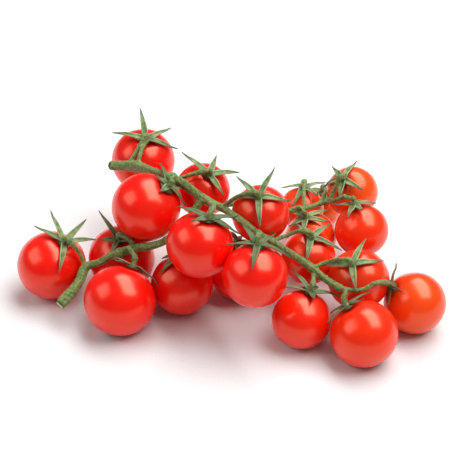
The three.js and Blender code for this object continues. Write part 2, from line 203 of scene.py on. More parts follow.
# Stem radius at shares of an arm's length, from the start of its line
MAIN_GIRTH = [
    (0, 2.15), (0.04, 2.05), (0.075, 2.7), (0.125, 1.7), (0.17, 1.45), (0.21, 1.8),
    (0.25, 2.2), (0.34, 1.8), (0.5, 1.55), (0.7, 1.4), (0.82, 1.6), (1, 1.5),
]
ARM_GIRTH = [
    (0, 2.3), (0.16, 2.1), (0.27, 1.7), (0.36, 1.35), (0.46, 1.9), (0.6, 1.75), (1, 1.6),
]
REAR_GIRTH = [(0, 1.35), (0.5, 1.15), (1, 0.95)]
ARM_SWELLING = 0.05

# A short stalk's radius, its knuckle's and flare's height over it, and its room to fruits
STALK_RADIUS, STALK_KNUCKLE, STALK_FLARE = 0.95, 0.4, 0.7
STALK_REACH = 1.15

# The arms are fused by a voxel pass, in metres, and eased by a few smoothing passes.
FUSE_VOXEL = 0.00042
EASE_FACTOR, EASE_PASSES = 0.5, 3

# Cut ends: radius, and in metres the depth of the piece
CUT_RADIUS = 2.1
CUT_DEPTH = 0.0013

# Fine hairs on the stem: the real ones are 0.02 mm thick and would not show, so they are
# drawn as coarse as a faint pale fuzz needs.
HAIRS = 5200
HAIR_RADIUS = 0.04
HAIR_LENGTHS = (0.35, 0.65)
HAIR_ROOT = 0.15
HAIR_SEED = 7

# Studio: the table's half side and how far it lies under the truss, the softboxes (name,
# direction, distance in metres, sides in metres, watts), and the camera's frame
TABLE_HALF_SIDE = 6000
TABLE_DROP = 0.02
SOFTBOXES = (
    ("Key softbox", (0.36, 0.18, 0.91), 1.4, (2.1, 1.0), 38.0),
    ("Left softbox", (-0.75, -0.1, 0.65), 1.4, (1.0, 0.8), 6.5),
    ("Front fill", (0.1, -0.95, 0.5), 1.3, (1.2, 1.2), 0.3),
)
PICTURE_WIDTH = 452
PIXELS_PER_MM = 2.27
SENSOR_WIDTH = 36.0


# Vectors and places

def unit(v):
    """Vector or rows of vectors divided by their length."""
    v = np.asarray(v, float)
    return v / np.linalg.norm(v, axis=-1, keepdims=True)


def stalk_axis(heading, lift):
    """Unit vector with that compass heading and that lift over the horizontal."""
    h, l = math.radians(heading), math.radians(lift)
    return np.array([math.cos(h) * math.cos(l), math.sin(h) * math.cos(l), math.sin(l)])


def turn_to(axis):
    """Smallest turn that takes +Z to the axis, as a matrix: I + K + K squared / (1 + z)."""
    k = np.array([[0, 0, axis[0]], [0, 0, axis[1]], [-axis[0], -axis[1], 0]])
    return np.eye(3) + k + k @ k / (1 + axis[2])


class Fruit:
    """One fruit of the truss: its place comes from its node's box in the frame."""

    def __init__(self, key):
        at, self.r, heading, lift, self.sepals = FRUITS[key]
        self.key = key
        self.at = np.array(at, float)
        self.axis = stalk_axis(heading, lift)
        self.turn = turn_to(self.axis)
        angle = np.arange(FACETS) / FACETS * 2 * math.pi
        ring = np.stack([np.sin(angle), -np.cos(angle)], 1)
        rho, height = FRAME_PROFILE[:, 0], FRAME_PROFILE[:, 1]
        flat = rho[:, None, None] * ring[None]
        up = np.broadcast_to(height[:, None, None], flat.shape[:2] + (1,))
        corners = np.concatenate([flat, up], 2).reshape(-1, 3) * self.r @ self.turn.T
        high = np.array(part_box("tomato_" + key)[1]) / MM
        self.centre = high - corners.max(0)

    def point(self, along, height=0.0):
        """Point at a height over the calyx disc's middle, and along sideways from it."""
        base = self.r * SHOULDER + GAP + HUB_HEIGHT * 0.5
        local = np.asarray(along) + np.array([0, 0, base + height])
        return self.centre + local @ self.turn.T


TRUSS = {key: Fruit(key) for key in FRUITS}
# Fruit 11 touches no other, so its place shows where the frame's origin lies.
SHIFT = TRUSS["11"].centre - TRUSS["11"].at
SHIFT[2] = 0.0


def clear_of_fruits(point, margin, skip=None):
    """Moves a point straight out of each fruit that it is too close to, and off the
    table."""
    point = np.array(point, float)
    for _ in range(CLEARING_PASSES):
        for fruit in TRUSS.values():
            out = point - fruit.centre
            reach = np.linalg.norm(out)
            if fruit is not skip and reach < fruit.r + margin:
                point = point + out / reach * (fruit.r + margin - reach)
        point[2] = max(point[2], TABLE_ROOM + margin / 2)
    return point


def smooth_line(points):
    """Centripetal Catmull-Rom line: each span blends its four nearest points by the square
    roots of the distances between them."""
    p = np.asarray(points, float)
    p = np.vstack([2 * p[0] - p[1], p, 2 * p[-1] - p[-2]])
    out = []
    for i in range(1, len(p) - 2):
        a, b, c, d = p[i - 1], p[i], p[i + 1], p[i + 2]
        t1 = math.sqrt(np.linalg.norm(b - a)) + 1e-6
        t2 = t1 + math.sqrt(np.linalg.norm(c - b)) + 1e-6
        t3 = t2 + math.sqrt(np.linalg.norm(d - c)) + 1e-6
        t = np.linspace(t1, t2, STATIONS_PER_SPAN, endpoint=False)[:, None]
        ab = a * (t1 - t) / t1 + b * t / t1
        bc = b * (t2 - t) / (t2 - t1) + c * (t - t1) / (t2 - t1)
        cd = c * (t3 - t) / (t3 - t2) + d * (t - t2) / (t3 - t2)
        abc = ab * (t2 - t) / t2 + bc * t / t2
        bcd = bc * (t3 - t) / (t3 - t1) + cd * (t - t1) / (t3 - t1)
        out.append(abc * (t2 - t) / (t2 - t1) + bcd * (t - t1) / (t2 - t1))
    return np.vstack(out + [p[-2][None]])


def carried_frames(line):
    """Side and normal at each station, carried along the line without twist."""
    ahead = unit(np.gradient(line, axis=0))
    side = unit(np.cross(ahead[0], (0.31, 0.2, 0.93)))
    sides = []
    for tangent in ahead:
        side = unit(side - tangent * (side @ tangent))
        sides.append(side)
    sides = np.array(sides)
    return sides, np.cross(ahead, sides)


# Meshes

def grid_faces(rows, columns, closed):
    """Quads of a grid of rows by columns, its columns joined in a ring if closed."""
    i = np.arange(rows - 1)[:, None]
    j = np.arange(columns if closed else columns - 1)[None]
    k = (j + 1) % columns
    quads = [i * columns + j, i * columns + k, (i + 1) * columns + k, (i + 1) * columns + j]
    return np.stack(np.broadcast_arrays(*quads), -1).reshape(-1, 4)


def make_mesh(name, points, faces, values=None, smooth=True):
    """A mesh object at the origin from points in millimetres, quads or triangles, and
    named values per point."""
    mesh = bpy.data.meshes.new(name)
    mesh.from_pydata((np.asarray(points) * MM).tolist(), [], [list(f) for f in faces])
    for key, value in (values or {}).items():
        layer = mesh.attributes.new(key, "FLOAT", "POINT")
        layer.data.foreach_set("value", np.asarray(value, np.float32))
    mesh.polygons.foreach_set("use_smooth", [smooth] * len(mesh.polygons))
    mesh.update()
    piece = bpy.data.objects.new(name, mesh)
    bpy.context.scene.collection.objects.link(piece)
    return piece


def rounded_tube(line, radius, columns, seed):
    """A stem: rings along a line. A ring's radius is the given one times 1, plus a sine of
    three times the angle and a sine of five times the angle, which both turn slowly along
    the line. Each end is drawn to a point in its own plane, so that the cut is flat.
    Returns the points, the faces and the outward lines of the rings."""
    side, normal = carried_frames(line)
    angle = np.arange(columns) / columns * 2 * math.pi
    rows = np.arange(len(line))[:, None]
    uneven = 1 + 0.05 * np.sin(3 * angle[None] + rows * 0.31 + seed)
    uneven = uneven + 0.09 * np.sin(5 * angle[None] - rows * 0.17 + seed * 2.3)
    reach = (np.asarray(radius)[:, None] * uneven)[..., None]
    ring = np.cos(angle)[None, :, None] * side[:, None]
    ring = ring + np.sin(angle)[None, :, None] * normal[:, None]
    body = line[:, None] + reach * ring
    points = np.concatenate([body.reshape(-1, 3), line[:1], line[-1:]])
    out = unit(body - line[:, None]).reshape(-1, 3)
    faces = grid_faces(len(line), columns, True).tolist()
    j = np.arange(columns)
    k = (j + 1) % columns
    first, last = len(points) - 2, len(points) - 1
    top = (len(line) - 1) * columns
    faces += np.stack([np.full(columns, first), k, j], 1).tolist()
    faces += np.stack([np.full(columns, last), top + j, top + k], 1).tolist()
    return points, faces, out


def join_parts(parts):
    """Several (points, faces, ...) as one."""
    points, faces, start = [], [], 0
    for p, f, *_ in parts:
        points.append(p)
        faces += [[i + start for i in face] for face in f]
        start += len(p)
    return np.concatenate(points), faces


# Materials

def linear(code):
    """sRGB hex code as linear red, green, blue and 1."""
    values = [int(code[i:i + 2], 16) / 255 for i in (1, 3, 5)]
    return [v / 12.92 if v <= 0.04045 else ((v + 0.055) / 1.055) ** 2.4 for v in values] + [1]


def add_node(material, kind, inputs=None, **settings):
    """One node with its settings; an input is a value, or (node, output) to link from."""
    tree = material.node_tree
    node = tree.nodes.new(kind)
    for key, value in settings.items():
        setattr(node, key, value)
    for key, value in (inputs or {}).items():
        if isinstance(value, tuple) and isinstance(value[0], bpy.types.Node):
            tree.links.new(value[0].outputs[value[1]], node.inputs[key])
        else:
            node.inputs[key].default_value = value
    return node


def new_material(name):
    """An empty node material and its shader, linked to the output."""
    material = bpy.data.materials.new(name)
    material.use_nodes = True
    material.node_tree.nodes.clear()
    shader = add_node(material, "ShaderNodeBsdfPrincipled")
    add_node(material, "ShaderNodeOutputMaterial", {"Surface": (shader, "BSDF")})
    return material, shader


def mix_colour(material, share, a, b):
    """Colour a turned into b by a share; each is a value or (node, output)."""
    return add_node(material, "ShaderNodeMix", {0: share, 6: a, 7: b}, data_type="RGBA")


def ramp(material, source, stops):
    """Colour ramp over (place, colour) stops."""
    node = add_node(material, "ShaderNodeValToRGB", {"Fac": source})
    bar = node.color_ramp
    while len(bar.elements) < len(stops):
        bar.elements.new(0.5)
    for element, (place, colour) in zip(bar.elements, stops):
        element.position = place
        element.color = colour
    return node


def grey(v):
    """A grey as a ramp colour."""
    return (v, v, v, 1)


def tomato_skin(settings):
    """Ripe tomato skin: a thin waxy cuticle over red flesh. It gives the eye a wet-looking
    gloss with soft edges, a deep red that leans to orange where the fruit is less ripe and
    is darker round the stalk, faint pale flecks a third of a millimetre wide under the wax,
    and a small brown scar at the blossom end."""
    material, shader = new_material("Ripe tomato skin")
    place = add_node(material, "ShaderNodeTexCoord")
    broad = add_node(material, "ShaderNodeTexNoise",
                     {"Vector": (place, "Object"), "Scale": 55.0, "Detail": 2.0})
    fine = add_node(material, "ShaderNodeTexNoise",
                    {"Vector": (place, "Object"), "Scale": 2600.0, "Detail": 1.0})
    lean = add_node(material, "ShaderNodeAttribute", attribute_name="orange")
    pole = add_node(material, "ShaderNodeAttribute", attribute_name="from_blossom")
    stalk = add_node(material, "ShaderNodeAttribute", attribute_name="from_stalk")
    ripe = mix_colour(material, (lean, "Fac"), linear(settings.red), linear(settings.orange))
    patch = ramp(material, (broad, "Fac"), [(0.35, grey(0)), (0.7, grey(0.22))])
    mottled = mix_colour(material, (patch, "Color"), (ripe, 2), linear("#e8260c"))
    fleck = ramp(material, (fine, "Fac"), [(0.56, grey(0)), (0.75, grey(0.22))])
    flecked = mix_colour(material, (fleck, "Color"), (mottled, 2), linear("#f0451c"))
    crown = ramp(material, (stalk, "Fac"), [(0.0, grey(0.5)), (0.35, grey(0))])
    crowned = mix_colour(material, (crown, "Color"), (flecked, 2), linear("#b3170a"))
    scar = ramp(material, (pole, "Fac"), [(0.035, grey(1)), (0.07, grey(0))])
    scarred = mix_colour(material, (scar, "Color"), (crowned, 2), linear("#4a2412"))
    bump = add_node(material, "ShaderNodeBump",
                    {"Height": (fine, "Fac"), "Strength": 0.03, "Distance": 0.0001})
    tree = material.node_tree
    tree.links.new(scarred.outputs[2], shader.inputs["Base Color"])
    tree.links.new(bump.outputs["Normal"], shader.inputs["Normal"])
    shader.inputs["Roughness"].default_value = settings.roughness
    shader.inputs["IOR"].default_value = 1.5
    shader.inputs["Specular IOR Level"].default_value = 1.0
    shader.inputs["Specular Tint"].default_value = linear("#ffba90")
    shader.inputs["Coat Weight"].default_value = 0.25
    shader.inputs["Coat Roughness"].default_value = 0.2
    shader.inputs["Coat IOR"].default_value = 1.5
    shader.inputs["Coat Tint"].default_value = linear("#fff0e8")
    shader.inputs["Subsurface Weight"].default_value = 0.15
    shader.inputs["Subsurface Radius"].default_value = (1.0, 0.2, 0.1)
    shader.inputs["Subsurface Scale"].default_value = 0.003
    return material


def sepal_leaf(settings):
    """Tomato sepal: a small downy leaf. It gives the eye a matt grey-green with a paler
    margin and midrib, a darker tip, brown where it has withered, and a middle darkened
    where the sepals meet the stalk, partly their own deeper green and partly painted shade."""
    material, shader = new_material("Downy tomato sepal")
    place = add_node(material, "ShaderNodeTexCoord")
    cloud = add_node(material, "ShaderNodeTexNoise",
                     {"Vector": (place, "Object"), "Scale": 420.0, "Detail": 3.0})
    along = add_node(material, "ShaderNodeAttribute", attribute_name="along")
    across = add_node(material, "ShaderNodeAttribute", attribute_name="across")
    blade = ramp(material, (cloud, "Fac"), [(0.3, linear(settings.sepal_dark)),
                                            (0.72, linear(settings.sepal))])
    margin = ramp(material, (across, "Fac"), [(0.0, grey(0.25)), (0.14, grey(0)),
                                              (0.7, grey(0)), (1.0, grey(0.6))])
    edged = mix_colour(material, (margin, "Color"), (blade, "Color"), linear("#b7c795"))
    shade = add_node(material, "ShaderNodeAttribute", attribute_name="shade")
    shaded = mix_colour(material, (shade, "Fac"), (edged, 2), linear("#435428"))
    # Painted shade: the sepals' bases and the disc under the stalk are darkened towards a deep
    # green, partly the calyx's own deeper green and partly painted shade under the stalk.
    middle_shade_mask = ramp(material, (along, "Fac"), [(0.02, grey(0.8)), (0.24, grey(0))])
    middle_shaded = mix_colour(material, (middle_shade_mask, "Color"), (shaded, 2), linear("#2f4719"))
    tip = ramp(material, (along, "Fac"), [(0.55, grey(0)), (0.9, grey(0.7))])
    tipped = mix_colour(material, (tip, "Color"), (middle_shaded, 2), linear("#2f3f24"))
    dry = add_node(material, "ShaderNodeAttribute", attribute_name="dry")
    withered = mix_colour(material, (dry, "Fac"), (tipped, 2), linear("#574a22"))
    bump = add_node(material, "ShaderNodeBump",
                    {"Height": (cloud, "Fac"), "Strength": 0.4, "Distance": 0.0002})
    tree = material.node_tree
    tree.links.new(withered.outputs[2], shader.inputs["Base Color"])
    tree.links.new(bump.outputs["Normal"], shader.inputs["Normal"])
    shader.inputs["Roughness"].default_value = 0.6
    shader.inputs["Sheen Weight"].default_value = 0.12
    shader.inputs["Sheen Roughness"].default_value = 0.5
    return material


def green_stem(settings):
    """Tomato stem: a downy green stalk. It gives the eye a mid green with darker streaks,
    brown corky patches a few millimetres long and a pale bloom at grazing angles."""
    material, shader = new_material("Downy tomato stem")
    place = add_node(material, "ShaderNodeTexCoord")
    streak = add_node(material, "ShaderNodeTexNoise",
                      {"Vector": (place, "Object"), "Scale": 900.0, "Detail": 4.0})
    patch = add_node(material, "ShaderNodeTexNoise",
                     {"Vector": (place, "Object"), "Scale": 70.0, "Detail": 2.0})
    green = ramp(material, (streak, "Fac"), [(0.3, linear(settings.stem_dark)),
                                             (0.66, linear(settings.stem))])
    cork = ramp(material, (patch, "Fac"), [(0.6, grey(0)), (0.74, grey(0.6))])
    corky = mix_colour(material, (cork, "Color"), (green, "Color"), linear("#7a5a30"))
    bump = add_node(material, "ShaderNodeBump",
                    {"Height": (streak, "Fac"), "Strength": 1.0, "Distance": 0.0006})
    tree = material.node_tree
    tree.links.new(corky.outputs[2], shader.inputs["Base Color"])
    tree.links.new(bump.outputs["Normal"], shader.inputs["Normal"])
    shader.inputs["Roughness"].default_value = 0.6
    shader.inputs["Sheen Weight"].default_value = 0.12
    shader.inputs["Sheen Roughness"].default_value = 0.5
    return material


def stem_down():
    """Plant hairs: clear glassy bristles. They give the eye a pale fuzz on the outline."""
    material, shader = new_material("Stem hairs")
    place = add_node(material, "ShaderNodeTexCoord")
    cloud = add_node(material, "ShaderNodeTexNoise",
                     {"Vector": (place, "Object"), "Scale": 300.0, "Detail": 1.0})
    tone = ramp(material, (cloud, "Fac"), [(0.35, linear("#9db07c")), (0.7, linear("#dfe6cf"))])
    material.node_tree.links.new(tone.outputs["Color"], shader.inputs["Base Color"])
    shader.inputs["Roughness"].default_value = 0.4
    return material


def cut_pith():
    """Cut stem end: moist pith inside a green rind. It gives the eye a pale yellow face
    with fine darker dots, and a dark torn rim."""
    material, shader = new_material("Cut stem pith")
    place = add_node(material, "ShaderNodeTexCoord")
    dots = add_node(material, "ShaderNodeTexNoise",
                    {"Vector": (place, "Object"), "Scale": 1500.0, "Detail": 2.0})
    face = ramp(material, (dots, "Fac"), [(0.35, linear("#a9ad6a")), (0.6, linear("#dbd9a4"))])
    edge = add_node(material, "ShaderNodeAttribute", attribute_name="ring")
    rind = ramp(material, (edge, "Fac"), [(0.86, grey(0)), (0.96, grey(1))])
    whole = mix_colour(material, (rind, "Color"), (face, "Color"), linear("#3c4f22"))
    material.node_tree.links.new(whole.outputs[2], shader.inputs["Base Color"])
    shader.inputs["Roughness"].default_value = 0.5
    return material


def table_paper():
    """White background paper: matt, with a very faint fibre in its tone."""
    material, shader = new_material("White background paper")
    place = add_node(material, "ShaderNodeTexCoord")
    fibre = add_node(material, "ShaderNodeTexNoise",
                     {"Vector": (place, "Object"), "Scale": 900.0, "Detail": 2.0})
    tone = ramp(material, (fibre, "Fac"), [(0.3, linear("#dfdfdf")), (0.7, linear("#e3e3e3"))])
    material.node_tree.links.new(tone.outputs["Color"], shader.inputs["Base Color"])
    shader.inputs["Roughness"].default_value = 0.9
    return material


# Settings

class TrussFruitSettings(bpy.types.PropertyGroup):
    """Looks of the fruits."""
    red: bpy.props.StringProperty(
        name="Ripe Red", description="Skin colour of a ripe fruit, as a hex code",
        default="#fc0603")
    orange: bpy.props.StringProperty(
        name="Orange", description="Skin colour of a less ripe fruit, as a hex code",
        default="#f86014")
    roughness: bpy.props.FloatProperty(
        name="Skin Roughness", description="Roughness of the waxy skin",
        default=0.27, min=0.0, max=1.0)
    swell: bpy.props.FloatProperty(
        name="Swell", description="Fruit size as a share of the size in the frame",
        default=1.02, min=0.95, max=1.05)


class TrussGreenSettings(bpy.types.PropertyGroup):
    """Looks of the green parts."""
    sepal: bpy.props.StringProperty(
        name="Sepal", description="Light colour of a sepal, as a hex code", default="#8aa05f")
    sepal_dark: bpy.props.StringProperty(
        name="Sepal Shade", description="Dark colour of a sepal, as a hex code",
        default="#3d5724")
    stem: bpy.props.StringProperty(
        name="Stem", description="Light colour of the stem, as a hex code", default="#80944d")
    stem_dark: bpy.props.StringProperty(
        name="Stem Shade", description="Dark colour of the stem, as a hex code",
        default="#3f571f")
    sepal_width: bpy.props.FloatProperty(
        name="Sepal Width", description="Widest part of a sepal",
        default=0.003, unit="LENGTH")


class TrussStageSettings(bpy.types.PropertyGroup):
    """Camera and light."""
    elevation: bpy.props.FloatProperty(
        name="Camera Elevation", description="Height of the camera over the horizon",
        default=math.radians(35), subtype="ANGLE")
    distance: bpy.props.FloatProperty(
        name="Camera Distance", description="From the camera to the truss",
        default=0.56, unit="LENGTH")
    aim_height: bpy.props.FloatProperty(
        name="Aim Height", description="Height of the point that the camera looks at",
        default=0.0321, unit="LENGTH")
    world: bpy.props.FloatProperty(
        name="Room Light", description="Strength of the white room light", default=0.15)


# Operators

def dress(piece, material, slot, *nodes):
    """Gives a piece its material and its body, and hides the frame's parts for the nodes that
    it stands for. The slot is not used.
    """
    piece.data.materials.append(material)
    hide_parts(*nodes)
    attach(piece, "root")
    return piece


class TRUSS_OT_fruits(bpy.types.Operator):
    """Builds the tomatoes"""
    bl_idname = "truss.fruits"
    bl_label = "Tomatoes"

    def execute(self, context):
        settings = context.scene.truss_fruit
        skin = tomato_skin(settings)
        for key, fruit in TRUSS.items():
            dress(self.fruit(key, fruit, settings.swell), skin, "tomato_skin",
                  "tomato_" + key)
        return {"FINISHED"}

    @staticmethod
    def fruit(key, fruit, swell):
        """Each fruit: distance from its axis is the sine of the angle from the blossom
        end, raised to a power just under 1 for a fuller side. Height is minus its cosine,
        a little flattened, with a shallow bell-shaped dip at the stalk. Five faint lobes
        fade away from the shoulder, and two fainter ones from the side. A fruit that
        touches the table is flat there."""
        rows, columns = 44, 64
        seed = int(key)
        polar = np.linspace(0, math.pi, rows)[:, None]
        angle = np.arange(columns)[None] / columns * 2 * math.pi
        rho = np.sin(polar) ** FULLNESS
        height = -np.cos(polar) * np.where(polar < math.pi / 2, BELOW, ABOVE)
        height = height - DIP_DEPTH * np.exp(-(rho / DIP_WIDTH) ** 2) * (polar > math.pi / 2)
        shoulder = np.exp(-((polar - 2.5) / 0.45) ** 2)
        lobes = 1 + SHOULDER_LOBE * shoulder * np.cos(5 * angle + seed)
        lobes = lobes + SIDE_LOBE * np.sin(polar) * np.cos(2 * angle + seed * 1.7)
        reach = rho * lobes * fruit.r * swell
        reach[0] = POLE_RADIUS
        reach[-1] = POLE_RADIUS
        local = np.stack(np.broadcast_arrays(
            reach * np.sin(angle), -reach * np.cos(angle), height * fruit.r * swell), -1)
        points = local.reshape(-1, 3) @ fruit.turn.T + fruit.centre
        if key in RESTING:
            points[:, 2] = np.maximum(points[:, 2], 0.0)
        faces = grid_faces(rows, columns, True).tolist()
        faces.append(list(range(columns))[::-1])
        faces.append(list(range((rows - 1) * columns, rows * columns)))
        spread = np.broadcast_to(polar / math.pi, (rows, columns)).ravel()
        values = {
            "orange": np.full(rows * columns, ORANGE.get(key, 0.0)),
            "from_blossom": spread,
            "from_stalk": 1 - spread,
        }
        return make_mesh("fruit_" + key, points, faces, values)


class TRUSS_OT_calyxes(bpy.types.Operator):
    """Builds the star of sepals on each tomato"""
    bl_idname = "truss.calyxes"
    bl_label = "Calyxes"

    def execute(self, context):
        settings = context.scene.truss_green
        leaf = sepal_leaf(settings)
        for key, fruit in TRUSS.items():
            piece = self.calyx(key, fruit, settings.sepal_width / MM)
            dress(piece, leaf, "calyx", "calyx_" + key)
            thick = piece.modifiers.new("Leaf thickness", "SOLIDIFY")
            thick.thickness = LEAF_THICKNESS
            thick.offset = 0.0
        return {"FINISHED"}

    @staticmethod
    def sepal(fruit, turn, spread, length, width, seed):
        """One sepal: a blade of two parameters. Along it the middle follows an arched
        three-point line that is kept clear of the fruits and smoothed by quarter, half and
        quarter. Across it the half width falls to the tip as a power of what is left of the
        length, the edges rise in a shallow V with a slow wave, and the last fifth curls
        up."""
        rows, columns = 20, 7
        out = np.array([math.cos(math.radians(turn)), math.sin(math.radians(turn)), 0])
        reach = math.sin(math.radians(spread)) * length
        rise = math.cos(math.radians(spread)) * length
        a = fruit.point(out * 0.4)
        b = fruit.point(out * reach * 0.5, rise * 0.4 + length * SEPAL_ARCH)
        c = fruit.point(out * reach, rise)
        u = np.linspace(0, 1, rows)[:, None]
        line = a * (1 - u) ** 2 + 2 * b * u * (1 - u) + c * u ** 2
        margin = GAP + SEPAL_THICKNESS / 2 + SEPAL_ROOM
        line = np.array([line[0]] + [clear_of_fruits(p, margin) for p in line[1:]])
        soft = np.array([0.25, 0.5, 0.25])
        for _ in range(2):
            inner = np.stack([np.convolve(line[:, i], soft, "valid") for i in range(3)], 1)
            line = np.vstack([line[:1], inner, line[-1:]])
        ahead = unit(np.gradient(line, axis=0))
        away = unit(line - fruit.centre)
        side = unit(np.cross(away, ahead))
        normal = np.cross(ahead, side)
        v = np.linspace(-1, 1, columns)[None]
        wide = 0.5 * width * (0.8 + 1.6 * u) * (1 - u) ** 1.25 + TIP_HALF_WIDTH
        wave = SEPAL_WAVE * np.sin(9 * u + seed) * v
        fold = SEPAL_FOLD * wide * np.abs(v) ** 1.3 + wave * wide
        curl = TIP_CURL * np.maximum(u - 0.8, 0) / 0.2
        curl = curl * (0.5 + 0.5 * math.sin(seed * 2.1))
        points = line[:, None] + side[:, None] * (wide * v)[..., None]
        points = points + normal[:, None] * (fold + curl * u)[..., None]
        along = np.broadcast_to(u, (rows, columns))
        across = np.broadcast_to(np.abs(v), (rows, columns))
        return points.reshape(-1, 3), grid_faces(rows, columns, False), along, across

    @classmethod
    def calyx(cls, key, fruit, width):
        """The sepals of one fruit and the small domed disc that they grow from, whose
        height falls with the square of the distance from its middle."""
        points, faces, along, across, shade = [], [], [], [], []
        start = 0
        width = width * NARROW.get(key, 1.0)
        for i, (turn, spread, length) in enumerate(fruit.sepals):
            seed = int(key) * 1.3 + i * 2.4
            p, f, a, c = cls.sepal(fruit, turn, spread, length, width, seed)
            points.append(p)
            faces += (f + start).tolist()
            along.append(a.ravel())
            across.append(c.ravel())
            shade.append(np.full(len(p), 0.75 * max(0.0, math.sin(seed * 5.1))))
            start += len(p)
        rows, columns = 5, 16
        angle = np.arange(columns)[None] / columns * 2 * math.pi
        ring = np.linspace(0.05, 1, rows)[:, None]
        dome = np.stack(np.broadcast_arrays(
            HUB_RADIUS * ring * np.cos(angle), HUB_RADIUS * ring * np.sin(angle),
            HUB_DOME * (1 - ring ** 2)), -1).reshape(-1, 3)
        dome = dome * WIDE_HUB.get(key, 1.0)
        points.append(fruit.point(dome))
        faces += (grid_faces(rows, columns, True) + start).tolist()
        faces.append(list(range(start, start + columns))[::-1])
        along.append(np.zeros(rows * columns))
        across.append(np.full(rows * columns, 0.4))
        # The disc is darkened by half towards a deep green: partly its own deeper green, partly
        # painted shade under the stalk.
        shade.append(np.full(rows * columns, 0.5))
        points = np.concatenate(points)
        values = {
            "along": np.concatenate(along),
            "across": np.concatenate(across),
            "shade": np.concatenate(shade),
            "dry": np.full(len(points), DRY.get(key, 0.0)),
        }
        return make_mesh("sepals_" + key, points, faces, values)


class TRUSS_OT_stem(bpy.types.Operator):
    """Builds the forked stem with its pedicels"""
    bl_idname = "truss.stem"
    bl_label = "Stem"

    def execute(self, context):
        settings = context.scene.truss_green
        parts = [
            self.branch(MAIN_LINE, MAIN_GIRTH, 0.3),
            self.branch(ARM_LINE, ARM_GIRTH, 1.1),
            self.branch(REAR_LINE, REAR_GIRTH, 2.2),
        ]
        for i, (key, route) in enumerate(PEDICELS):
            parts.append(self.pedicel(TRUSS[key], route, i * 0.9))
            swelling = THIN_JOINT_RADIUS if key in ON_REAR_ARM else JOINT_RADIUS
            parts.append(self.knuckle(route[0], swelling))
        parts.append(self.strand(TRUSS["11"]))
        for place, radius in KNUCKLES:
            parts.append(self.knuckle(place, radius))
        points, faces = join_parts(parts)
        piece = make_mesh("truss_stem", points, faces)
        dress(piece, green_stem(settings), "stem", "stem")
        fuse = piece.modifiers.new("Fuse arms", "REMESH")
        fuse.mode = "VOXEL"
        fuse.voxel_size = FUSE_VOXEL
        fuse.use_smooth_shade = True
        ease = piece.modifiers.new("Ease joints", "SMOOTH")
        ease.factor = EASE_FACTOR
        ease.iterations = EASE_PASSES
        dress(self.down([part for part in parts if len(part) == 3]), stem_down(), "stem")
        self.cut_faces()
        return {"FINISHED"}

    @staticmethod
    def route(points, radius):
        """Points of a line in the frame, moved clear of the fruits."""
        margin = radius + GAP + STEM_ROOM
        return [clear_of_fruits(np.array(p) + SHIFT, margin) for p in points]

    @classmethod
    def branch(cls, points, girth, seed):
        """An arm: its radius runs straight between the stops of its girth, times 1 plus a
        low sine along the arm."""
        stops, radii = zip(*girth)
        line = smooth_line(cls.route(points, np.mean(radii)))
        share = np.linspace(0, 1, len(line))
        swelling = 1 + ARM_SWELLING * np.sin(share * 38 + seed)
        radius = np.interp(share, stops, radii) * swelling
        return rounded_tube(line, radius, 24, seed)

    @classmethod
    def pedicel(cls, fruit, route, seed):
        """A short stalk: its radius plus a bell curve for the knuckle, about two thirds
        along, plus a straight flare into the calyx at its end."""
        line = cls.route(route, STALK_REACH)
        top = fruit.point((0, 0, 0), HUB_HEIGHT * 0.5 + 3)
        line.append(clear_of_fruits(top, STALK_REACH + GAP, fruit))
        line.append(fruit.point((0, 0, 0), 0.3))
        line = smooth_line(line)
        share = np.linspace(0, 1, len(line))
        radius = STALK_RADIUS + STALK_KNUCKLE * np.exp(-((share - 0.62) / 0.08) ** 2)
        radius = radius + STALK_FLARE * np.maximum(share - 0.82, 0) / 0.18
        return rounded_tube(line, radius, 14, seed)

    @classmethod
    def strand(cls, fruit):
        """A strand of one radius from the stem to the calyx disc."""
        line = cls.route(STRAND, STRAND_RADIUS) + [fruit.point((1.0, 0, 0), 0.8)]
        line = smooth_line(line)
        return rounded_tube(line, np.full(len(line), STRAND_RADIUS), 10, 0.7)

    @staticmethod
    def knuckle(place, radius):
        """A swollen joint: a ball. Each ring's radius is the sine and its height the cosine
        of the angle from the top."""
        rows, columns = 10, 16
        polar = np.linspace(0.05, math.pi - 0.05, rows)[:, None]
        angle = np.arange(columns)[None] / columns * 2 * math.pi
        ball = np.stack(np.broadcast_arrays(
            np.sin(polar) * np.cos(angle), np.sin(polar) * np.sin(angle),
            np.cos(polar)), -1).reshape(-1, 3)
        points = ball * radius + np.array(place) + SHIFT
        faces = grid_faces(rows, columns, True)[:, ::-1].tolist()
        faces.append(list(range(columns)))
        faces.append(list(range((rows - 1) * columns, rows * columns))[::-1])
        return points, faces

    @staticmethod
    def down(tubes):
        """Fine hairs: each is a three-sided spike from a seeded choice of the stem's own
        surface points, along the surface's outward line plus a small random lean."""
        rng = np.random.default_rng(HAIR_SEED)
        roots = np.concatenate([p[:len(out)] for p, _, out in tubes])
        outs = np.concatenate([out for *_, out in tubes])
        pick = rng.choice(len(roots), HAIRS, replace=True)
        roots = roots[pick] + rng.normal(0, 0.12, (HAIRS, 3))
        lean = unit(outs[pick] + rng.normal(0, 0.3, (HAIRS, 3)))
        side = unit(np.cross(lean, (0.3, 0.5, 0.81)))
        normal = np.cross(lean, side)
        angle = np.arange(3) * 2 * math.pi / 3
        foot = np.cos(angle)[None, :, None] * side[:, None]
        foot = (foot + np.sin(angle)[None, :, None] * normal[:, None]) * HAIR_RADIUS
        tip = roots + lean * rng.uniform(*HAIR_LENGTHS, (HAIRS, 1))
        base = roots - lean * HAIR_ROOT
        points = np.concatenate([base[:, None] + foot, tip[:, None]], 1).reshape(-1, 3)
        start = np.arange(HAIRS)[:, None, None] * 4
        faces = start + np.array([[0, 1, 3], [1, 2, 3], [2, 0, 3], [2, 1, 0]])[None]
        return make_mesh("stem_down", points, faces.reshape(-1, 3).tolist(), smooth=False)

